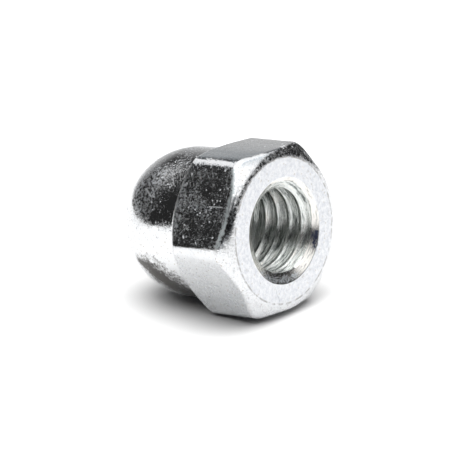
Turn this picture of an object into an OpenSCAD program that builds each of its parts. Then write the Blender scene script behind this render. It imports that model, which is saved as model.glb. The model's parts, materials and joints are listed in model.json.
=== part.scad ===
// Domed cap nut: a hexagon with a blind tapped hole, closed by a dome.
// It lies on its side, tipped back until its dome meets the surface.

/* [Thread] */
// Nominal thread diameter
thread_d = 8; // [6:0.5:9]
// Distance from one thread turn to the next
thread_pitch = 1.25; // [0.5:0.25:1.5]
// Depth of the hole's straight wall, from the mouth
hole_depth = 11.3; // [8:0.1:12]
// Angle of the drilled point at the bottom, side to side
drill_point_angle = 118; // [110:1:150]

/* [Mouth] */
// Widest diameter of the countersink
countersink_d = 8.4; // [8.2:0.1:11]
// Angle of the countersink, side to side
countersink_angle = 120; // [90:5:130]

/* [Hexagon] */
// Width across the flats
across_flats = 12.8; // [12.6:0.1:16]
// Length of the hexagon, from the mouth to its rear
hex_length = 6.4; // [5:0.1:8]
// Rounding of the six corners
corner_r = 1.1; // [0.2:0.1:3]
// Diameter of the flat bearing face
bearing_d = 11.4; // [11.2:0.1:12]
// Rounding between the bearing face and the front chamfer
bearing_edge_r = 0.9; // [0.2:0.1:1.2]
// Slope of the front chamfer, from the bearing face
front_chamfer_angle = 36; // [20:1:42]
// Diameter at which the rear chamfer starts
rear_chamfer_d = 11.8; // [11:0.1:12]
// Slope of the rear chamfer, from a plane across the nut
rear_chamfer_angle = 39; // [15:1:50]

/* [Dome] */
// Diameter of the dome and of the short cylinder below it
dome_d = 12.2; // [10:0.1:12.5]
// Length of the whole nut, from the mouth to the top of the dome
nut_length = 15.1; // [14.6:0.1:18]

/* [Hidden] */
$fn = 144;

flats_apart = 60;     // angle from one flat to the next
corner_step = 10;     // angle between the points of a rounded corner
edge_steps = 4;       // steps round the edge of the bearing face
spare = 1;            // how far a cutting shape runs past the solid

half_flats = across_flats / 2;
bearing_r = bearing_d / 2;
rear_chamfer_r = rear_chamfer_d / 2;
dome_r = dome_d / 2;
dome_centre = nut_length - dome_r;

// a 60 degree thread leaves this much of the wall at its tips
bore_r = (thread_d - 1.0825 * thread_pitch) / 2;
countersink_r = countersink_d / 2;
countersink_slope = tan(countersink_angle / 2);
countersink_depth = (countersink_r - bore_r) / countersink_slope;
drill_point = bore_r / tan(drill_point_angle / 2);

// the rear chamfer cuts a flat off here, at the flat's middle
flat_end = hex_length - (half_flats - rear_chamfer_r) * tan(rear_chamfer_angle);

// at rest, a flat's rear edge and the dome touch the surface together
edge_to_dome = dome_centre - flat_end;
rest_tilt = acos(dome_r / norm([half_flats, edge_to_dome])) - atan2(edge_to_dome, half_flats);
front_x = bearing_r * sin(rest_tilt);
rear_x = -dome_centre * cos(rest_tilt) - dome_r;
mouth_height = dome_r + dome_centre * sin(rest_tilt);

// Hexagon with rounded corners and a flat facing +X
module hexagon_outline() {
    corner_centre = (half_flats - corner_r) / cos(flats_apart / 2);
    polygon([
        for (corner = [flats_apart / 2 : flats_apart : 360])
        for (turn = [-flats_apart / 2 : corner_step : flats_apart / 2])
            corner_centre * [cos(corner), sin(corner)]
            + corner_r * [cos(corner + turn), sin(corner + turn)]
    ]);
}

// Turned envelope that chamfers the hexagon, front and rear
module chamfer_envelope() {
    rim_r = half_flats / cos(flats_apart / 2);
    bearing_edge = [
        for (step = [0 : edge_steps])
        let (slope = front_chamfer_angle * step / edge_steps)
            [bearing_r + bearing_edge_r * sin(slope), bearing_edge_r * (1 - cos(slope))]
    ];
    chamfer_start = bearing_edge[edge_steps];
    front_rim = chamfer_start.y + (rim_r - chamfer_start.x) * tan(front_chamfer_angle);
    rear_rim = hex_length - (rim_r - rear_chamfer_r) * tan(rear_chamfer_angle);
    rotate_extrude()
        polygon(concat(
            [[0, 0]],
            bearing_edge,
            [[rim_r, front_rim], [rim_r, rear_rim], [rear_chamfer_r, hex_length], [0, hex_length]]
        ));
}

module hexagon() {
    intersection() {
        linear_extrude(hex_length)
            hexagon_outline();
        chamfer_envelope();
    }
}

// Short cylinder and half ball, grown out of the hexagon's rear
module dome() {
    inside_hexagon = hex_length / 2;
    rotate_extrude() {
        translate([0, inside_hexagon])
            square([dome_r, dome_centre - inside_hexagon]);
        translate([0, dome_centre])
            intersection() {
                circle(dome_r);
                square(dome_r);
            }
    }
}

// Countersink, wall at the thread's tips, and drilled point
module blind_hole() {
    rotate_extrude()
        polygon([
            [0, -spare],
            [countersink_r + spare * countersink_slope, -spare],
            [bore_r, countersink_depth],
            [bore_r, hole_depth],
            [0, hole_depth + drill_point]
        ]);
}

// From mouth down on the origin to lying on its side, mouth towards +X
module lay_on_side() {
    translate([-(front_x + rear_x) / 2, 0, mouth_height])
        rotate([0, -90 - rest_tilt, 0])
            children();
}

module cap_nut() {
    color("silver")
        lay_on_side()
            difference() {
                union() {
                    hexagon();
                    dome();
                }
                blind_hole();
            }
}

cap_nut();
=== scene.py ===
import json
import math

import bmesh
import bpy
from mathutils import Matrix, Vector


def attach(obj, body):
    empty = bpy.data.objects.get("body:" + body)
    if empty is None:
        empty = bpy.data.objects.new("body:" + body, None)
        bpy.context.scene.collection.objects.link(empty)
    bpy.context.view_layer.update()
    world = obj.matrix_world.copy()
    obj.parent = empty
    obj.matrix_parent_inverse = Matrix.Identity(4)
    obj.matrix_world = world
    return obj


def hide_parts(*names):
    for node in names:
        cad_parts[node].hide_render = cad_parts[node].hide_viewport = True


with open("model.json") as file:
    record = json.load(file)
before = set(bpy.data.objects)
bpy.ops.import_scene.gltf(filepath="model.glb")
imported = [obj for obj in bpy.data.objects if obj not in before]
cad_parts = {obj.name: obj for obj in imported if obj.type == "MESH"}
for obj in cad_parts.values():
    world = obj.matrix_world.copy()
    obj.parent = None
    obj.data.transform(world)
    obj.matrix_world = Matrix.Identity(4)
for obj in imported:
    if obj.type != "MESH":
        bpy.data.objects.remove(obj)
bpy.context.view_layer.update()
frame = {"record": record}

mm = 0.001  # metres in a millimetre
print("frame loaded")


# Sums in node trees: a Field stands for a socket's value

class Field:
    def __init__(self, tree, socket):
        self.tree = tree
        self.socket = socket

    def __add__(self, other):
        return calculate(self.tree, "ADD", self, other)

    def __radd__(self, other):
        return calculate(self.tree, "ADD", other, self)

    def __sub__(self, other):
        return calculate(self.tree, "SUBTRACT", self, other)

    def __rsub__(self, other):
        return calculate(self.tree, "SUBTRACT", other, self)

    def __mul__(self, other):
        return calculate(self.tree, "MULTIPLY", self, other)

    def __rmul__(self, other):
        return calculate(self.tree, "MULTIPLY", other, self)

    def __truediv__(self, other):
        return calculate(self.tree, "DIVIDE", self, other)

    def __rtruediv__(self, other):
        return calculate(self.tree, "DIVIDE", other, self)

    def __neg__(self):
        return calculate(self.tree, "MULTIPLY", self, -1.0)

    def do(self, operation, *others):
        return calculate(self.tree, operation, self, *others)


def plug(tree, value, socket):  # a Field is linked, anything else is set
    if isinstance(value, Field):
        tree.links.new(value.socket, socket)
    else:
        socket.default_value = value


def calculate(tree, operation, *values):
    node = tree.nodes.new("ShaderNodeMath")
    node.operation = operation
    for place, value in enumerate(values):
        plug(tree, value, node.inputs[place])
    return Field(tree, node.outputs[0])


# inputs are named as the sockets are, with _ for a space
def addNode(tree, kind, settings=None, **inputs):
    node = tree.nodes.new(kind)
    for name, value in (settings or {}).items():
        setattr(node, name, value)
    for name, value in inputs.items():
        plug(tree, value, node.inputs[name.replace("_", " ")])
    return node


def output(node, name):
    return Field(node.id_data, node.outputs[name])


def split(tree, vector):
    node = addNode(tree, "ShaderNodeSeparateXYZ", Vector=vector)
    return [output(node, axis) for axis in "XYZ"]


def limit(value, low=0.0, high=1.0):
    return value.do("MAXIMUM", low).do("MINIMUM", high)


def ramp(value, low, high):
    return limit((value - low) / (high - low))


def between(value, low, high, soft):
    return ramp(value, low - soft, low) * ramp(value, high + soft, high)


def blend(first, second, share):
    return first + (second - first) * share


# Where the nut lies

# from the nut's own millimetres, with the mouth at 0 and z into the nut, to the world
def nutPlacement():
    mounts = {mount["name"]: mount for mount in frame["record"]["mounts"]}
    outward = Vector(mounts["thread"]["axis"]).normalized()
    hole = Vector(mounts["thread"]["pos_m"])
    face = Vector(mounts["bearing_face"]["pos_m"])
    upperFlat = Vector((-outward.z, 0, outward.x))
    across = upperFlat.cross(outward)
    place = Matrix((upperFlat, across, -outward)).transposed().to_4x4()
    place.translation = hole + outward * outward.dot(face - hole)
    return place @ Matrix.Scale(mm, 4)


placement = nutPlacement()


# The nut: bands of faces swept round the axis, each by its own rule

nutSizes = {  # millimetres, degrees and shares
    "Across Flats": 12.8,
    "Corner Radius": 1.1,
    "Front Corner Radius": 1.6,
    "Hexagon Length": 6.4,
    "Bearing Radius": 5.65,
    "Bearing Edge": 1.1,
    "Front Slope": 36.0,
    "Front Rounding": 0.32,
    "Rear Chamfer Radius": 5.9,
    "Rear Slope": 39.0,
    "Rear Rounding": 0.16,
    "Dome Radius": 6.1,
    "Dome Centre": 9.0,
    "Mouth Radius": 4.2,
    "Mouth Rounding": 0.05,
    "Mouth Slope": 60.0,
    "Thread Tip Radius": 3.3234,
    "Thread Root Radius": 4.0,
    "Pitch": 1.25,
    "Thread Start": 0.74,
    "Thread Fade": 1.9,
    "Hole Depth": 11.3,
    "Drill Point": 2.0,
    "Wave Height": 0.012,
    "Wave Size": 2.2,
    "Wear Width": 0.30,
    "Wear Shift": 0.4,  # of the front rounding
    "Chamfer Wear": 0.50,
    "Chamfer Share": 0.9,  # at most this much of the front chamfer is rounded away
    "Crest Share": 0.25,  # of the half pitch, as on a standard thread
    "Flank Share": 0.625,
    "Thread Softness": 0.12,
    "Mouth Softness": 0.04,
    "Weld Distance": 0.002,
}
nutMesh = {  # columns of faces, and rows in each band from the drilled point to the top of the dome
    "columnsPerSide": 36,
    "crowding": 1.35,  # towards the corners
    "sharpAngle": 48.0,  # degrees
    "drill": 6,
    "turn": 16,  # for each turn of the thread
    "mouth": 4,
    "bearing": 6,
    "bearingEdge": 6,
    "frontChamfer": 6,
    "frontRounding": 8,
    "flats": 30,
    "rearRounding": 6,
    "rearChamfer": 5,
    "root": 6,
    "cylinder": 10,
    "dome": 34,
}


def cone(tree, slope):
    return calculate(tree, "TANGENT", slope.do("RADIANS"))


def straight(start, end):
    return lambda along: [a + (b - a) * along for a, b in zip(start, end)]


def rounded(start, corner, end):
    def curve(along):
        first = straight(start, corner)(along)
        last = straight(corner, end)(along)
        return [a + (b - a) * along for a, b in zip(first, last)]
    return curve


class NutTree:
    def __init__(self):
        self.tree = bpy.data.node_groups.new("cap nut", "GeometryNodeTree")
        sockets = self.tree.interface
        for name, size in nutSizes.items():
            socket = sockets.new_socket(name=name, in_out="INPUT", socket_type="NodeSocketFloat")
            socket.default_value = size
        sockets.new_socket(name="Geometry", in_out="OUTPUT", socket_type="NodeSocketGeometry")
        entry = self.tree.nodes.new("NodeGroupInput")
        self.size = {name: output(entry, name) for name in nutSizes}
        self.sides = 6
        self.turns = math.ceil(nutSizes["Hole Depth"] / nutSizes["Pitch"]) + 1
        self.measureTurn()

    def measureTurn(self):  # columns crowd towards the corners
        tree = self.tree
        x, y, _ = split(tree, output(addNode(tree, "GeometryNodeInputPosition"), "Position"))
        self.along = y + 0.5
        column = (x + 0.5) * float(self.sides) + 0.5
        across = column.do("FRACT") * 2.0 - 1.0
        halfSide = 180.0 / self.sides
        crowd = nutMesh["crowding"]
        lean = across * (crowd - (crowd - 1.0) * across * across) * halfSide
        degrees = column.do("FLOOR") * (2.0 * halfSide) + lean
        self.turn = degrees / 360.0
        self.angle = degrees.do("RADIANS")
        self.fromFlat = lean.do("ABSOLUTE").do("RADIANS")
        self.fromCorner = halfSide * math.pi / 180 - self.fromFlat

    def outline(self, rounding):  # distance from the axis to the rounded hexagon
        half = self.size["Across Flats"] / 2.0
        centre = (half - rounding) / math.cos(math.pi / self.sides)
        flat = half / self.fromFlat.do("COSINE")
        offset = centre * self.fromCorner.do("SINE")
        reach = (rounding * rounding - offset * offset).do("SQRT")
        corner = centre * self.fromCorner.do("COSINE") + reach
        flatEnd = ((half - rounding) / half * math.tan(math.pi / self.sides)).do("ARCTANGENT")
        past = self.fromFlat.do("GREATER_THAN", flatEnd)
        return flat + (corner - flat) * past

    def band(self, rows, rule, wear=None):
        tree = self.tree
        columns = nutMesh["columnsPerSide"] * self.sides
        grid = addNode(tree, "GeometryNodeMeshGrid", Size_X=1.0, Size_Y=1.0,
                       Vertices_X=columns + 1, Vertices_Y=rows + 1)
        radius, height = rule(self.along)
        worn = wear(height) if wear else 0.0
        kind = {"data_type": "FLOAT", "domain": "POINT"}
        marked = addNode(tree, "GeometryNodeStoreNamedAttribute", kind, Geometry=output(grid, "Mesh"),
                         Name="edgeWear", Value=worn)
        place = addNode(tree, "ShaderNodeCombineXYZ", X=radius * self.angle.do("COSINE"),
                        Y=radius * self.angle.do("SINE"), Z=height)
        return addNode(tree, "GeometryNodeSetPosition", Geometry=output(marked, "Geometry"),
                       Position=output(place, "Vector"))

    def weld(self, parts):
        joined = self.tree.nodes.new("GeometryNodeJoinGeometry")
        for part in parts:
            self.tree.links.new(part.outputs[0], joined.inputs[0])
        return addNode(self.tree, "GeometryNodeMergeByDistance", Geometry=output(joined, "Geometry"),
                       Distance=self.size["Weld Distance"])

    def tappedWall(self, along):  # rows follow the helix, so that each crest is one row of points
        size = self.size
        pitch = size["Pitch"]
        start = size["Mouth Rounding"] * math.cos(math.radians(nutSizes["Mouth Slope"]))
        free = (along * float(self.turns) - 1.0 + self.turn) * pitch
        depth = free.do("MAXIMUM", start).do("MINIMUM", size["Hole Depth"])
        phase = (depth / pitch - self.turn).do("FRACT")
        fromCrest = (phase - size["Thread Start"]).do("WRAP", 0.5, -0.5).do("ABSOLUTE") * 2.0
        rise = (fromCrest - size["Crest Share"]) / size["Flank Share"]
        soft = size["Thread Softness"]
        rise = rise.do("SMOOTH_MAX", 0.0, soft).do("SMOOTH_MIN", 1.0, soft)
        fade = limit((size["Hole Depth"] - depth) / size["Thread Fade"])
        tip = size["Thread Tip Radius"]
        thread = tip + (size["Thread Root Radius"] - tip) * rise * fade
        countersink = size["Mouth Radius"] - depth * cone(self.tree, size["Mouth Slope"])
        return thread.do("SMOOTH_MAX", countersink, size["Mouth Softness"]), depth

    def bearingEdge(self, along):
        size = self.size
        slope = along * size["Front Slope"].do("RADIANS")
        edge = size["Bearing Edge"]
        return size["Bearing Radius"] + edge * slope.do("SINE"), edge * (1.0 - slope.do("COSINE"))

    def halfBall(self, along):
        size = self.size
        slope = along * (math.pi / 2)
        ball = size["Dome Radius"]
        return ball * slope.do("COSINE"), size["Dome Centre"] + ball * slope.do("SINE")

    def mouthBands(self):
        size = self.size
        mouth = size["Mouth Radius"]
        edge = size["Mouth Rounding"]
        slope = size["Mouth Slope"].do("RADIANS")
        inner = (mouth - edge * slope.do("SINE"), edge * slope.do("COSINE"))
        outer = (mouth + edge, 0.0)
        drill = (size["Thread Tip Radius"], size["Hole Depth"])
        point = (0.0 * size["Pitch"], size["Hole Depth"] + size["Drill Point"])
        rows = nutMesh
        return [
            self.band(rows["drill"], straight(point, drill)),
            self.band(rows["turn"] * self.turns, self.tappedWall),
            self.band(rows["mouth"], rounded(inner, (mouth, 0.0), outer)),
            self.band(rows["bearing"], straight(outer, (size["Bearing Radius"], 0.0))),
        ]

    def outerBands(self):
        tree = self.tree
        size = self.size
        rim = self.outline(size["Corner Radius"])
        slope = size["Front Slope"].do("RADIANS")
        rearSlope = size["Rear Slope"].do("RADIANS")
        ball = size["Dome Radius"]
        frontRim = self.outline(size["Front Corner Radius"])
        edgeRadius, edgeHeight = self.bearingEdge(1.0)
        frontHeight = edgeHeight + (frontRim - edgeRadius) * cone(tree, size["Front Slope"])
        chamfer = (frontRim - edgeRadius) / slope.do("COSINE")
        front = size["Front Rounding"].do("MINIMUM", chamfer * size["Chamfer Share"])
        frontStart = (frontRim - front * slope.do("COSINE"), frontHeight - front * slope.do("SINE"))
        frontEnd = (frontRim, frontHeight + front)
        rear = size["Rear Rounding"]
        lean = cone(tree, size["Rear Slope"])
        rearHeight = size["Hexagon Length"] - (rim - size["Rear Chamfer Radius"]) * lean
        rootHeight = size["Hexagon Length"] - (ball - size["Rear Chamfer Radius"]) * lean
        rearStart = (rim, rearHeight - rear)
        rearEnd = (rim - rear * rearSlope.do("COSINE"), rearHeight + rear * rearSlope.do("SINE"))
        rootStart = (ball + rear * rearSlope.do("COSINE"), rootHeight - rear * rearSlope.do("SINE"))
        rootEnd = (ball, rootHeight + rear)

        def nearEdge(height, edge):
            return 1.0 - (height - edge).do("ABSOLUTE") / size["Wear Width"]

        def alongEdges(height):
            nearFront = nearEdge(height, frontHeight + front * size["Wear Shift"])
            return limit(nearFront.do("MAXIMUM", nearEdge(height, rearHeight)))

        def rubbed(height):
            return nearEdge(height, frontHeight).do("MAXIMUM", size["Chamfer Wear"])

        frontRounding = rounded(frontStart, (frontRim, frontHeight), frontEnd)
        rows = nutMesh
        return [
            self.band(rows["bearingEdge"], self.bearingEdge, rubbed),
            self.band(rows["frontChamfer"], straight((edgeRadius, edgeHeight), frontStart), rubbed),
            self.band(rows["frontRounding"], frontRounding, alongEdges),
            self.band(rows["flats"], straight(frontEnd, rearStart), alongEdges),
            self.band(rows["rearRounding"], rounded(rearStart, (rim, rearHeight), rearEnd), alongEdges),
            self.band(rows["rearChamfer"], straight(rearEnd, rootStart), alongEdges),
            self.band(rows["root"], rounded(rootStart, (ball, rootHeight), rootEnd), alongEdges),
            self.band(rows["cylinder"], straight(rootEnd, (ball, size["Dome Centre"])), alongEdges),
            self.band(rows["dome"], self.halfBall),
        ]

    def forge(self, outer):  # shallow waves, inwards only, which fade out towards the bearing face
        tree = self.tree
        position = output(addNode(tree, "GeometryNodeInputPosition"), "Position")
        waves = addNode(tree, "ShaderNodeTexNoise", Vector=position,
                        Scale=1.0 / self.size["Wave Size"], Detail=1.5)
        _, _, height = split(tree, position)
        depth = -output(waves, "Fac") * self.size["Wave Height"] * limit(height * 2.0)
        normal = output(addNode(tree, "GeometryNodeInputNormal"), "Normal")
        shift = addNode(tree, "ShaderNodeVectorMath", {"operation": "SCALE"}, Vector=normal, Scale=depth)
        return addNode(tree, "GeometryNodeSetPosition", Geometry=output(outer, "Geometry"),
                       Offset=output(shift, "Vector"))

    def finish(self, material):
        tree = self.tree
        outer = self.forge(self.weld(self.outerBands()))
        whole = self.weld([outer] + self.mouthBands())
        smooth = addNode(tree, "GeometryNodeSetShadeSmooth", Geometry=output(whole, "Geometry"))
        real = addNode(tree, "GeometryNodeRealizeInstances", Geometry=output(smooth, "Geometry"))
        coated = addNode(tree, "GeometryNodeSetMaterial", Geometry=output(real, "Geometry"))
        coated.inputs["Material"].default_value = material
        tree.links.new(coated.outputs[0], tree.nodes.new("NodeGroupOutput").inputs[0])
        return tree


def buildNut(material):
    tree = NutTree().finish(material)
    builder = bpy.data.objects.new("nutBuilder", bpy.data.meshes.new("nutBuilder"))
    bpy.context.scene.collection.objects.link(builder)
    modifier = builder.modifiers.new("cap nut", "NODES")
    modifier.node_group = tree
    for item in tree.interface.items_tree:
        if item.in_out == "INPUT":
            modifier[item.identifier] = nutSizes[item.name]
    bpy.context.view_layer.update()
    made = builder.evaluated_get(bpy.context.evaluated_depsgraph_get())
    mesh = bpy.data.meshes.new_from_object(made)
    bpy.data.objects.remove(builder)
    mesh.transform(placement)
    faces = bmesh.new()
    faces.from_mesh(mesh)
    bmesh.ops.recalc_face_normals(faces, faces=faces.faces)
    faces.to_mesh(mesh)
    faces.free()
    mesh.set_sharp_from_angle(angle=math.radians(nutMesh["sharpAngle"]))
    nut = bpy.data.objects.new("platedCapNut", mesh)
    bpy.context.scene.collection.objects.link(nut)
    print("nut:", len(mesh.vertices), "points,", len(mesh.polygons), "faces")
    return nut


# Zinc plate

zinc = {  # colours, roughnesses, and heights in millimetres
    "colour": (0.885, 0.895, 0.905),
    "polish": 0.075,
    "domePolish": 0.05,
    "dentHeight": 0.006,
    "dullColour": (0.445, 0.49, 0.53),
    "streakHeight": 0.004,
    "speckColour": (0.77, 0.79, 0.825),
    "speckRoughness": 0.58,
    "speckHeight": 0.002,
    "glintRoughness": 0.75,
    "hairRoughness": 0.30,
    "hairDepth": 0.003,
    "cornerRoughness": 0.16,
    "cornerHeight": 0.012,
    "wornColour": (0.90, 0.905, 0.915),
    "wornRoughness": 0.38,
    "wornHeight": 0.006,
    "edgingRoughness": 0.80,
    "faceColour": (0.88, 0.89, 0.91),
    "faceMottle": (0.69, 0.71, 0.75),
    "faceRoughness": 0.26,
    "faceHeight": 0.003,
    "fleckColour": (0.50, 0.44, 0.37),
    "countersinkColour": (0.96, 0.94, 0.90),
    "countersinkRoughness": 0.24,
    "ringColour": (0.42, 0.41, 0.40),
    "ringHeight": 0.004,
    "threadColour": (0.88, 0.91, 0.89),
    "threadDirt": (0.22, 0.24, 0.235),
    "threadRoughness": 0.23,
    "burrHeight": 0.060,
    "scratchRoughness": 0.42,
    "scratchDepth": 0.010,
    # dark grease colour, also the painted shade of the floor's shadow mirrored on the dome's underside
    "stainAndPaintedShadeColour": (0.10, 0.095, 0.09),
    "stainAndPaintedShadeRoughness": 0.36,
    "blotColour": (0.075, 0.085, 0.14),
    # dark film colour, also used as a painted dark reflection
    "smearAndDarkReflectionColour": (0.19, 0.20, 0.215),
    "stripColour": (0.60, 0.66, 0.67),
    "dirtColour": (0.72, 0.77, 0.82),
    "dirtRoughness": 0.75,
}

textures = {  # noises: size in millimetres, detail and roughness
    "grain": (0.17, 3.0, 0.65),
    "crumbs": (0.09, 2.0, 0.5),
    "patches": (0.55, 3.0, 0.6),
    "bands": (0.9, 2.0, 0.5),
    "streaks": (0.16, 2.0, 0.5),
    "dents": (0.45, 2.0, 0.5),
    "veil": (0.22, 4.0, 0.8),
    "mottle": (0.34, 5.0, 0.7),
    "burrs": (0.13, 5.0, 0.75),
    "rings": (0.09, 2.0, 0.6),
}
dots = {"speck": 0.08, "cloud": 1.5, "glint": 0.13, "fleck": 0.10}  # sizes in millimetres
hairs = [  # turned by, in radians, and size in millimetres
    ((0.0, 0.0, 0.0), 0.5),
    ((1.1, 0.7, 0.4), 0.7),
    ((0.4, 1.9, 1.0), 0.7),
]

# each kind of mark is made of lines with a width, in the nut's own millimetres
# wander bends them, uneven breaks them up with textures, edge is how soon they show, hold keeps them in place
marks = {
    "scratches": {
        "wander": 0.0,
        "edge": (0.0, 0.7),
        "lines": [
            ((3.85, -4.63, 9.93), (3.38, -5.07, 9.04), 0.10),
            ((3.21, -5.53, 2.45), (3.24, -5.51, 1.12), 0.05),
            ((2.05, -6.15, 3.90), (1.20, -6.70, 4.80), 0.06),
            ((-3.98, -1.93, 0.0), (-5.24, -1.54, 0.0), 0.07),
        ],
    },
    "stainsAndPaintedShade": {  # old grease on the dome, with painted shade: the wide lines darken the dome's underside as if it mirrored the floor's shadow
        "wander": 0.9,
        "uneven": {"patches": 1.3, "grain": 1.5},
        "edge": (0.10, 0.68),
        "hold": 0.12,
        "lines": [
            ((-2.05, -5.45, 10.90), (-2.48, -5.51, 9.74), 0.9),
            ((-2.48, -5.51, 9.74), (-3.20, -5.15, 9.00), 1.6),
            ((-3.20, -5.15, 9.00), (-3.95, -4.64, 8.40), 2.3),
            ((-3.95, -4.64, 8.40), (-5.00, -3.40, 7.60), 2.6),
        ],
    },
    "hazes": {  # more specks
        "wander": 0.9,
        "edge": (0.0, 1.0),
        "lines": [((3.60, -5.30, 4.90), (3.20, -5.60, 3.60), 1.3)],
    },
    "veils": {  # specks so close that they run together
        "wander": 0.9,
        "edge": (0.0, 0.5),
        "lines": [
            ((4.20, -4.20, 10.10), (3.40, -4.90, 10.20), 2.5),
            ((5.30, -4.30, 5.75), (1.10, -6.70, 5.55), 0.7),
        ],
    },
    "clears": {  # fewer specks
        "wander": 0.9,
        "edge": (0.0, 0.5),
        "lines": [
            ((4.90, -3.60, 6.50), (3.30, -5.16, 6.50), 0.8),
            ((3.30, -5.16, 6.50), (2.10, -5.70, 6.80), 0.8),
            ((2.10, -5.70, 6.80), (2.00, -5.75, 8.40), 0.5),
            ((2.20, -5.10, 11.40), (3.40, -3.50, 12.60), 0.7),
        ],
    },
    "shades": {  # duller plate on a flat
        "wander": 0.9,
        "uneven": {"bands": 0.8},
        "edge": (0.05, 0.75),
        "lines": [
            ((6.4, -3.7, 5.2), (6.4, -0.9, 0.8), 0.9),
            ((6.4, -3.4, 4.2), (6.4, -3.4, 1.2), 0.6),
        ],
    },
    "grime": {  # pale dirt in the countersink
        "wander": 0.9,
        "uneven": {"crumbs": 5.0},
        "edge": (0.80, 1.20),
        "lines": [
            ((-2.75, -2.85, 0.15), (-3.60, -1.60, 0.15), 0.6),
            ((-3.60, -1.60, 0.15), (-3.97, -0.20, 0.15), 0.6),
            ((-3.97, -0.20, 0.10), (-3.85, 1.00, 0.10), 0.35),
        ],
    },
    "smearsAndDarkReflection": {  # dark film on the front chamfer, partly a painted dark reflection
        "wander": 0.9,
        "uneven": {"grain": 1.8},
        "edge": (0.15, 0.75),
        "lines": [
            ((3.86, -4.94, 0.21), (2.79, -5.60, 0.19), 0.30),
            ((2.79, -5.60, 0.19), (1.66, -6.02, 0.16), 0.50),
            ((1.66, -6.09, 0.24), (0.70, -6.70, 0.50), 0.50),
            ((6.33, -0.70, 0.42), (6.38, 0.90, 0.38), 0.36),
        ],
    },
    "strips": {  # grey band where a flat meets the chamfer
        "wander": 0.45,
        "uneven": {"grain": 1.8},
        "edge": (0.15, 0.60),
        "lines": [
            ((5.80, -4.05, 0.95), (4.43, -4.82, 0.55), 0.30),
            ((4.43, -4.82, 0.55), (3.41, -5.41, 0.57), 0.28),
            ((3.41, -5.41, 0.57), (2.19, -6.11, 0.56), 0.28),
            ((2.19, -6.11, 0.56), (1.09, -6.73, 0.68), 0.28),
            ((1.09, -6.73, 0.68), (0.53, -7.02, 0.82), 0.26),
        ],
    },
    "edgings": {  # matt white rubbing along the edges
        "wander": 0.9,
        "uneven": {"grain": 1.6, "crumbs": 1.4},
        "edge": (0.25, 0.45),
        "hold": 0.1,
        "lines": [
            ((6.21, -3.66, 0.55), (6.21, -3.66, 5.60), 0.42),
            ((6.15, -3.62, 5.85), (6.10, -3.40, 6.00), 0.22),
            ((6.30, -3.20, 0.80), (6.30, -1.20, 0.45), 0.26),
            ((6.30, -1.20, 0.45), (6.36, 1.60, 0.55), 0.18),
        ],
    },
    "blots": {  # dark smudge in the countersink
        "wander": 0.9,
        "uneven": {"crumbs": 1.8},
        "edge": (0.30, 0.62),
        "hold": 0.1,
        "lines": [
            ((-1.15, 3.84, 0.15), (-2.20, 3.36, 0.15), 0.40),
            ((-1.25, 3.62, 0.36), (-1.75, 3.38, 0.42), 0.32),
        ],
    },
}


zones = {  # from where to where a finish comes in, in the nut's own millimetres
    "face": (0.04, 0.0),
    "thread": (0.35, 0.62),
    "dome": (6.0, 6.7),
    "lowerDome": (2.2, 0.6),
    "shadedFlat": (0.55, 0.75),
    "dullFlat": (5.7, 6.2),
    "dullAcross": (1.2, -2.2),
    "corner": (6.3, 6.5),
    "seam": (5.72, 5.80, 0.05),
    "seamDepth": (0.25, 0.1),
}
levels = {  # from which to which value of a texture something shows
    "fleck": (0.965, 1.0),
    "glint": (0.97, 0.99),
    "flaw": (0.32, 0.48),
    "worn": (0.38, 0.80),
    "corner": (0.075, 0.045),
    "stripGap": (0.30, 0.56),
    "seamGap": (0.42, 0.54),
    "mottle": (0.40, 0.62),
    "ring": (0.56, 0.70),
    "cleanTurn": (0.38, 0.48),
    "brightTurn": (0.54, 0.62),
}


def noise(tree, vector, size, detail, roughness):
    node = addNode(tree, "ShaderNodeTexNoise", Vector=vector, Scale=1.0 / size, Detail=detail,
                   Roughness=roughness)
    return output(node, "Fac")


def cells(tree, vector, size):  # one random value for each small cell
    node = addNode(tree, "ShaderNodeTexVoronoi", Vector=vector, Scale=1.0 / size)
    red = addNode(tree, "ShaderNodeSeparateColor", Color=output(node, "Color"))
    return output(red, "Red")


def makeGroup(name, inputs, result, recipe):
    group = bpy.data.node_groups.new(name, "ShaderNodeTree")
    for label, value in inputs.items():
        kind = "NodeSocketFloat" if isinstance(value, float) else "NodeSocketVector"
        group.interface.new_socket(name=label, in_out="INPUT", socket_type=kind).default_value = value
    group.interface.new_socket(name=result, in_out="OUTPUT", socket_type="NodeSocketFloat")
    entry = group.nodes.new("NodeGroupInput")
    end = group.nodes.new("NodeGroupOutput")
    plug(group, recipe(group, *[output(entry, label) for label in inputs]), end.inputs[result])
    return group


def useGroup(tree, group, **values):
    return Field(tree, addNode(tree, "ShaderNodeGroup", {"node_tree": group}, **values).outputs[0])


def stretched(tree, vector, scale):
    return output(addNode(tree, "ShaderNodeMapping", Vector=vector, Scale=scale), "Vector")


def turned(tree, vector, rotation):
    return output(addNode(tree, "ShaderNodeMapping", Vector=vector, Rotation=rotation), "Vector")


def vectorSum(tree, operation, first, second, result="Vector"):
    node = addNode(tree, "ShaderNodeVectorMath", {"operation": operation})
    plug(tree, first, node.inputs[0])
    plug(tree, second, node.inputs["Scale"] if operation == "SCALE" else node.inputs[1])
    return output(node, result)


def joinVector(tree, x, y, z):
    return output(addNode(tree, "ShaderNodeCombineXYZ", X=x, Y=y, Z=z), "Vector")


def mixColour(tree, first, second, share):
    node = addNode(tree, "ShaderNodeMix", {"data_type": "RGBA"})
    plug(tree, share, node.inputs[0])
    for colour, socket in ((first, node.inputs[6]), (second, node.inputs[7])):
        plug(tree, colour if isinstance(colour, Field) else (*colour, 1.0), socket)
    return Field(tree, node.outputs[2])


def nutSpace(tree):  # the nut's own millimetres, in a material
    location, rotation, scale = placement.inverted().decompose()
    where = addNode(tree, "ShaderNodeTexCoord")
    mapping = addNode(tree, "ShaderNodeMapping", Vector=output(where, "Object"),
                      Location=location, Rotation=rotation.to_euler(), Scale=scale)
    return output(mapping, "Vector")


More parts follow.
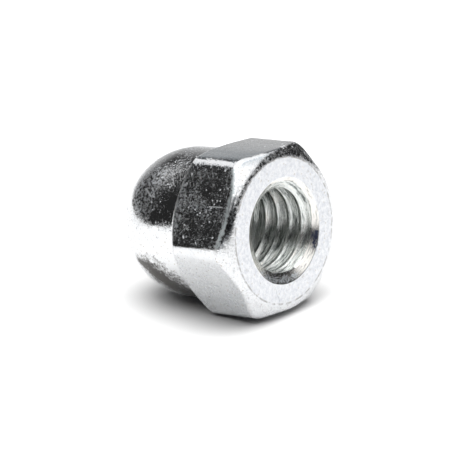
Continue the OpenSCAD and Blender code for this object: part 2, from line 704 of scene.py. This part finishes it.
def speckRecipe(group, vector, size, cloudSize):  # fine dust and lone bright dots, in clouds
    lone = ramp(cells(group, vector, size * 1.5), 0.80, 1.0)
    dust = ramp(noise(group, vector, size * 1.4, 3.0, 0.7), 0.42, 0.78)
    cloud = noise(group, vector, cloudSize, 2.0, 0.5)
    cover = limit(0.85 + (cloud - 0.5) * 3.2, 0.2, 1.6)
    return limit((dust * 0.75 + lone * (0.25 + dust)) * cover)


def hairRecipe(group, vector, size):  # long thin lines along z, broken up
    along = stretched(group, vector, (1.0, 1.0, 0.03))
    lines = (noise(group, along, size, 1.0, 0.5) - 0.5).do("ABSOLUTE")
    gaps = ramp(noise(group, vector, 0.9, 2.0, 0.5), 0.46, 0.56)
    return ramp(lines, 0.02, 0.0) * gaps


def markRecipe(group, vector, start, end, width):  # 1 on the line from start to end, 0 at the width
    line = vectorSum(group, "SUBTRACT", end, start)
    reach = vectorSum(group, "SUBTRACT", vector, start)
    along = limit(vectorSum(group, "DOT_PRODUCT", reach, line, "Value")
                  / vectorSum(group, "DOT_PRODUCT", line, line, "Value"))
    nearest = vectorSum(group, "SCALE", line, along)
    distance = vectorSum(group, "DISTANCE", reach, nearest, "Value")
    return limit(1.0 - distance / width)


class ZincTree:
    def __init__(self):
        self.material = bpy.data.materials.new("zincPlate")
        self.material.use_nodes = True
        self.tree = self.material.node_tree
        self.tree.nodes.clear()
        self.shader = self.tree.nodes.new("ShaderNodeBsdfPrincipled")
        surface = self.tree.nodes.new("ShaderNodeOutputMaterial")
        self.tree.links.new(self.shader.outputs[0], surface.inputs[0])
        self.shader.inputs["Metallic"].default_value = 1.0
        self.space = nutSpace(self.tree)
        self.x, self.y, self.z = split(self.tree, self.space)
        self.radius = (self.x * self.x + self.y * self.y).do("SQRT")
        self.turn = self.y.do("ARCTAN2", self.x) / (2.0 * math.pi)
        self.findZones()
        self.addTextures()
        self.addMarks()
        self.addSpecks()
        self.addWear()
        self.lineHole()

    def findZones(self):  # where each finish lies
        mouth = nutSizes["Mouth Radius"]
        bottom = nutSizes["Hole Depth"] + nutSizes["Drill Point"]
        self.face = ramp(self.z, *zones["face"]) * ramp(self.radius, mouth - 0.05, mouth)
        within = ramp(self.radius, mouth + 0.02, mouth - 0.04)
        self.hole = within * ramp(self.z, bottom + 0.10, bottom + 0.02)
        self.thread = self.hole * ramp(self.z, *zones["thread"])
        self.countersink = self.hole - self.thread
        self.sides = (1.0 - self.face) * (1.0 - self.hole)
        self.dome = ramp(self.z, *zones["dome"]) * self.sides
        self.hexagon = self.sides * (1.0 - self.dome)

    def texture(self, name, vector=None):
        return noise(self.tree, vector or self.space, *textures[name])

    def addTextures(self):
        lengthways = stretched(self.tree, self.space, (1.0, 1.0, 0.12))
        self.grain = self.texture("grain")
        self.crumbs = self.texture("crumbs")
        self.patches = self.texture("patches")
        self.bands = self.texture("bands", lengthways)
        self.breakers = {"grain": self.grain, "crumbs": self.crumbs, "patches": self.patches,
                         "bands": self.bands}
        wander = addNode(self.tree, "ShaderNodeTexNoise", Vector=self.space, Scale=3.0, Detail=4.0,
                         Roughness=0.65)
        self.shift = vectorSum(self.tree, "SUBTRACT", output(wander, "Color"), (0.5, 0.5, 0.5))

    def marked(self, kind):  # how strongly one kind of mark shows
        mark = marks[kind]
        shift = vectorSum(self.tree, "SCALE", self.shift, mark["wander"])
        ragged = vectorSum(self.tree, "ADD", self.space, shift)
        total = 0.0
        for start, end, width in mark["lines"]:
            line = useGroup(self.tree, self.marking, Vector=ragged, Start=start, End=end, Width=width)
            total = line.do("MAXIMUM", total)
        uneven = total
        for name, strength in mark.get("uneven", {}).items():
            uneven = uneven + (self.breakers[name] - 0.5) * strength
        shown = ramp(uneven, *mark["edge"])
        return shown * ramp(total, 0.0, mark["hold"]) if "hold" in mark else shown

    def addMarks(self):
        inputs = {"Vector": (0, 0, 0), "Start": (0, 0, 0), "End": (0, 0, 1), "Width": 0.1}
        self.marking = makeGroup("mark", inputs, "Mark", markRecipe)
        self.scratch = self.marked("scratches")
        # grease stains and painted shade on the dome's underside
        self.stainAndPaintedShade = self.marked("stainsAndPaintedShade") * self.dome
        self.clear = self.marked("clears")
        self.shade = self.marked("shades") * self.hexagon * ramp(self.z, *zones["shadedFlat"])
        self.dirt = self.marked("grime") * self.countersink
        self.blot = self.marked("blots")
        # dark film and painted dark reflection on the front chamfer
        self.smearAndDarkReflection = self.marked("smearsAndDarkReflection") * self.hexagon
        self.strip = self.marked("strips") * self.hexagon * ramp(self.crumbs, *levels["stripGap"])
        self.edging = self.marked("edgings") * self.sides

    def addSpecks(self):
        inputs = {"Vector": (0, 0, 0), "Size": 0.1, "Cloud Size": 1.5}
        specking = makeGroup("plate specks", inputs, "Specks", speckRecipe)
        plain = useGroup(self.tree, specking, Vector=self.space, Size=dots["speck"],
                         Cloud_Size=dots["cloud"])
        more = 1.0 + self.marked("hazes") * 1.3
        fewer = 1.0 - self.clear * 0.6
        lower = 1.0 - ramp(self.x, *zones["lowerDome"]) * self.dome * 0.70
        veil = limit(0.42 + (self.texture("veil") - 0.5) * 4.6)
        plain = limit(plain * self.sides * more * fewer * lower)
        self.specks = blend(plain, veil, self.marked("veils") * (1.0 - self.clear))
        flaws = (self.grain - 0.5) * 1.6 + (self.crumbs - 0.5) * 1.4
        glints = ramp(cells(self.tree, self.space, dots["glint"]), *levels["glint"])
        glints = glints.do("MAXIMUM", ramp(flaws, *levels["flaw"]))
        self.glints = glints * self.sides * (1.0 - self.clear * 0.7)

    def addWear(self):  # hair lines, rubbed edges and rough corners
        hairLines = makeGroup("hair lines", {"Vector": (0, 0, 0), "Size": 0.3}, "Lines", hairRecipe)
        lines = 0.0
        for rotation, size in hairs:
            slanted = turned(self.tree, self.space, rotation)
            lines = useGroup(self.tree, hairLines, Vector=slanted, Size=size) + lines
        self.hairs = lines * self.sides * (1.0 - self.dome * 0.6)
        wear = output(addNode(self.tree, "ShaderNodeAttribute", {"attribute_name": "edgeWear"}), "Fac")
        worn = ramp(wear + (self.grain - 0.5) * 1.3 + (self.patches - 0.5), *levels["worn"])
        self.worn = worn * (1.0 - self.smearAndDarkReflection * 0.8)
        fromCorner = ((self.turn * 6.0).do("FRACT") - 0.5).do("ABSOLUTE")
        corner = ramp(fromCorner + (self.grain - 0.5) * 0.06, *levels["corner"])
        self.corner = corner * self.hexagon * ramp(self.radius, *zones["corner"])

    def lineHole(self):  # fine lines that follow the turns, and rings in the countersink
        pitch = nutSizes["Pitch"]
        lead = (self.z / pitch - self.turn - nutSizes["Thread Start"] + 0.5).do("FRACT") * pitch
        alongTurns = joinVector(self.tree, self.x * 0.07 + self.z * 0.1, self.y * 0.07, lead)
        alongRings = joinVector(self.tree, self.x * 0.12, self.y * 0.12, self.radius)
        self.burrs = self.texture("burrs", alongTurns)
        self.rings = self.texture("rings", alongRings)

    def height(self):
        dents = self.texture("dents")
        streaks = self.texture("streaks", stretched(self.tree, self.space, (1.0, 1.0, 0.05)))
        coarse = (self.worn * zinc["wornHeight"] + self.face * zinc["faceHeight"]
                  + self.corner * zinc["cornerHeight"])
        return (self.specks * zinc["speckHeight"]
                + dents * zinc["dentHeight"] * (1.0 - self.hole)
                + streaks * self.hexagon * zinc["streakHeight"]
                - self.hairs * zinc["hairDepth"]
                - self.scratch * zinc["scratchDepth"]
                + self.burrs * self.thread * zinc["burrHeight"]
                + self.rings * self.countersink * zinc["ringHeight"]
                + self.grain * coarse)

    def roughness(self):
        rough = blend(zinc["polish"], zinc["domePolish"], self.dome)
        layers = [
            (zinc["speckRoughness"], self.specks),
            (zinc["glintRoughness"], self.glints),
            (zinc["hairRoughness"], limit(self.hairs)),
            (zinc["cornerRoughness"], self.corner),
            (zinc["wornRoughness"] * (0.55 + 0.9 * self.grain), self.worn),
            (zinc["edgingRoughness"], self.edging),
            (0.25 + 0.6 * self.grain, self.strip),
            (zinc["faceRoughness"], self.face),
            (zinc["countersinkRoughness"], self.countersink),
            (zinc["threadRoughness"], self.thread),
            (zinc["scratchRoughness"], self.scratch),
            (zinc["stainAndPaintedShadeRoughness"], self.stainAndPaintedShade.do("MAXIMUM", self.blot)),
            (zinc["dirtRoughness"], self.dirt),
        ]
        for layer, share in layers:
            rough = blend(rough, layer, share)
        return rough

    def colour(self):
        tree = self.tree
        across = 0.04 + 0.86 * ramp(self.y, *zones["dullAcross"])
        dull = ramp(self.x, *zones["dullFlat"]) * across * (0.4 + 1.2 * self.bands) * self.hexagon
        dull = dull.do("MAXIMUM", self.shade * 0.9)
        seam = between(self.radius, *zones["seam"]) * ramp(self.z, *zones["seamDepth"])
        seam = seam * ramp(self.patches, *levels["seamGap"])
        flecks = cells(tree, self.space, dots["fleck"]) + (self.grain - 0.5) * 0.1
        flecks = ramp(flecks, *levels["fleck"]) * 0.7 * (1.0 - self.hole)
        mottle = ramp(self.texture("mottle"), *levels["mottle"])
        face = mixColour(tree, zinc["faceColour"], zinc["faceMottle"], mottle)
        rings = ramp(self.rings, *levels["ring"])
        sunk = mixColour(tree, zinc["countersinkColour"], zinc["ringColour"], rings)
        clean = ramp(self.burrs, *levels["cleanTurn"])
        bright = ramp(self.burrs, *levels["brightTurn"])
        turns = mixColour(tree, zinc["threadDirt"], zinc["threadColour"], clean)
        turns = mixColour(tree, turns, zinc["countersinkColour"], bright)
        layers = [
            (zinc["speckColour"], self.specks),
            (zinc["dullColour"], limit(dull)),
            (zinc["wornColour"], self.worn.do("MAXIMUM", self.edging)),
            (face, self.face),
            (zinc["fleckColour"], flecks),
            (zinc["ringColour"], seam * 0.85),
            (sunk, self.countersink),
            (turns, self.thread),
            # painted shade: grease and the mirrored floor shadow darken the dome's underside
            (zinc["stainAndPaintedShadeColour"], self.stainAndPaintedShade),
            # painted dark reflection, with a dark film, on the front chamfer
            (zinc["smearAndDarkReflectionColour"], self.smearAndDarkReflection * 0.9),
            (zinc["stripColour"], self.strip),
            (zinc["dirtColour"], self.dirt),
            (zinc["blotColour"], self.blot),
        ]
        colour = zinc["colour"]
        for layer, share in layers:
            colour = mixColour(tree, colour, layer, share)
        return colour

    def finish(self):
        bump = addNode(self.tree, "ShaderNodeBump", Height=self.height(), Distance=mm, Strength=1.0)
        plug(self.tree, output(bump, "Normal"), self.shader.inputs["Normal"])
        plug(self.tree, self.roughness(), self.shader.inputs["Roughness"])
        plug(self.tree, self.colour(), self.shader.inputs["Base Color"])
        print("zinc plate:", len(self.tree.nodes), "nodes")
        return self.material


# Stage

camera = {  # where the viewer stands, and the lens
    "azimuth": 42.27,
    "elevation": 18.11,
    "roll": -2.81,
    "distance": 160.24,  # millimetres
    "aim": (1.0244, 0.5301, 5.6926),
    "lens": 156.5,
    "near": 0.001,  # metres
    "far": 10.0,
}
stageSizes = {"floorSide": 3000.0}
studio = {  # light levels, and degrees above the horizon or right of the view's far side
    "zenithLevel": 2.55,
    "topLevel": 1.25,
    "wallLevel": 0.02,
    "backLevel": 0.60,
    "top": (40.5, 42.5),
    "topTilt": 2.0,
    "topTowards": 130.0,
    "zenith": (54.0, 64.0),
    "back": (-24.0, 22.0),
    "backSoft": 16.0,
    "backFade": (4.0, 34.0),
    "lamp": (96.0, 140.0),
    "lampSoft": 5.0,
    "lampRise": (18.0, 25.0),
    "lampLean": 0.55,
    "lampLeanFrom": 118.0,
    "paperSeen": 1.38,
    "paperMirrored": 1.04,
    "paperBounced": 0.18,
}


def viewAxes():
    azimuth = math.radians(camera["azimuth"])
    elevation = math.radians(camera["elevation"])
    roll = math.radians(camera["roll"])
    back = Vector((math.sin(azimuth) * math.cos(elevation), -math.cos(azimuth) * math.cos(elevation),
                   math.sin(elevation)))
    level = Vector((math.cos(azimuth), math.sin(azimuth), 0))
    upright = back.cross(level)
    right = level * math.cos(roll) + upright * math.sin(roll)
    up = upright * math.cos(roll) - level * math.sin(roll)
    return right, up, back


def makeCamera():
    right, up, back = viewAxes()
    place = Matrix((right, up, back)).transposed().to_4x4()
    place.translation = (Vector(camera["aim"]) + back * camera["distance"]) * mm
    data = bpy.data.cameras.new("viewer")
    data.lens = camera["lens"]
    data.clip_start = camera["near"]
    data.clip_end = camera["far"]
    viewer = bpy.data.objects.new("viewer", data)
    viewer.matrix_world = place
    bpy.context.scene.collection.objects.link(viewer)
    bpy.context.scene.camera = viewer


def makeStudio():
    world = bpy.data.worlds.new("studio")
    bpy.context.scene.world = world
    world.use_nodes = True
    tree = world.node_tree
    tree.nodes.clear()
    surface = tree.nodes.new("ShaderNodeOutputWorld")
    where = addNode(tree, "ShaderNodeTexCoord")
    x, y, z = split(tree, output(where, "Generated"))
    elevation = z.do("ARCSINE").do("DEGREES")
    turn = math.radians(camera["azimuth"])
    away = y * math.cos(turn) - x * math.sin(turn)
    right = x * math.cos(turn) + y * math.sin(turn)
    azimuth = right.do("ARCTAN2", away).do("DEGREES")
    back = between(azimuth, *studio["back"], studio["backSoft"])
    back = back * ramp(elevation, *reversed(studio["backFade"]))
    level = blend(studio["wallLevel"], studio["backLevel"], back)
    tilt = ((azimuth - studio["topTowards"]) * (math.pi / 180.0)).do("COSINE") * studio["topTilt"]
    above = ramp(elevation + tilt, *studio["top"])
    lean = (azimuth - studio["lampLeanFrom"]).do("MINIMUM", 0.0) * studio["lampLean"]
    lamp = between(azimuth, *studio["lamp"], studio["lampSoft"])
    lamp = lamp * ramp(elevation + lean, *studio["lampRise"])
    level = blend(level, studio["topLevel"], above.do("MAXIMUM", lamp))
    level = blend(level, studio["zenithLevel"], ramp(elevation, *studio["zenith"]))
    light = addNode(tree, "ShaderNodeBackground", Color=(1, 1, 1, 1), Strength=level)
    backdrop = addNode(tree, "ShaderNodeBackground", Color=(1, 1, 1, 1), Strength=1.0)
    seen = output(addNode(tree, "ShaderNodeLightPath"), "Is Camera Ray")
    mix = tree.nodes.new("ShaderNodeMixShader")
    plug(tree, seen, mix.inputs[0])
    tree.links.new(light.outputs[0], mix.inputs[1])
    tree.links.new(backdrop.outputs[0], mix.inputs[2])
    tree.links.new(mix.outputs[0], surface.inputs[0])


# how white the paper is depends on who looks: the viewer, the nut's metal, or the paper itself
def makeFloor():
    half = stageSizes["floorSide"] / 2 * mm
    mesh = bpy.data.meshes.new("floor")
    corners = [(-half, -half, 0), (half, -half, 0), (half, half, 0), (-half, half, 0)]
    mesh.from_pydata(corners, [], [(0, 1, 2, 3)])
    floor = bpy.data.objects.new("floor", mesh)
    bpy.context.scene.collection.objects.link(floor)
    material = bpy.data.materials.new("whitePaper")
    material.use_nodes = True
    tree = material.node_tree
    tree.nodes.clear()
    surface = tree.nodes.new("ShaderNodeOutputMaterial")
    path = addNode(tree, "ShaderNodeLightPath")
    soon = output(path, "Ray Depth").do("LESS_THAN", 2.5)
    bounced = output(path, "Diffuse Depth").do("MINIMUM", 1.0) * soon
    white = blend(studio["paperMirrored"], studio["paperBounced"], bounced)
    white = blend(white, studio["paperSeen"], output(path, "Is Camera Ray"))
    paper = addNode(tree, "ShaderNodeBsdfDiffuse", Color=joinVector(tree, white, white, white))
    tree.links.new(paper.outputs[0], surface.inputs[0])
    mesh.materials.append(material)


bpy.context.scene.view_settings.view_transform = "Standard"
makeCamera()
makeStudio()
makeFloor()
print("stage set")

nut = buildNut(ZincTree().finish())
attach(nut, "root")
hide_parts("cap_nut")
print("nut placed")
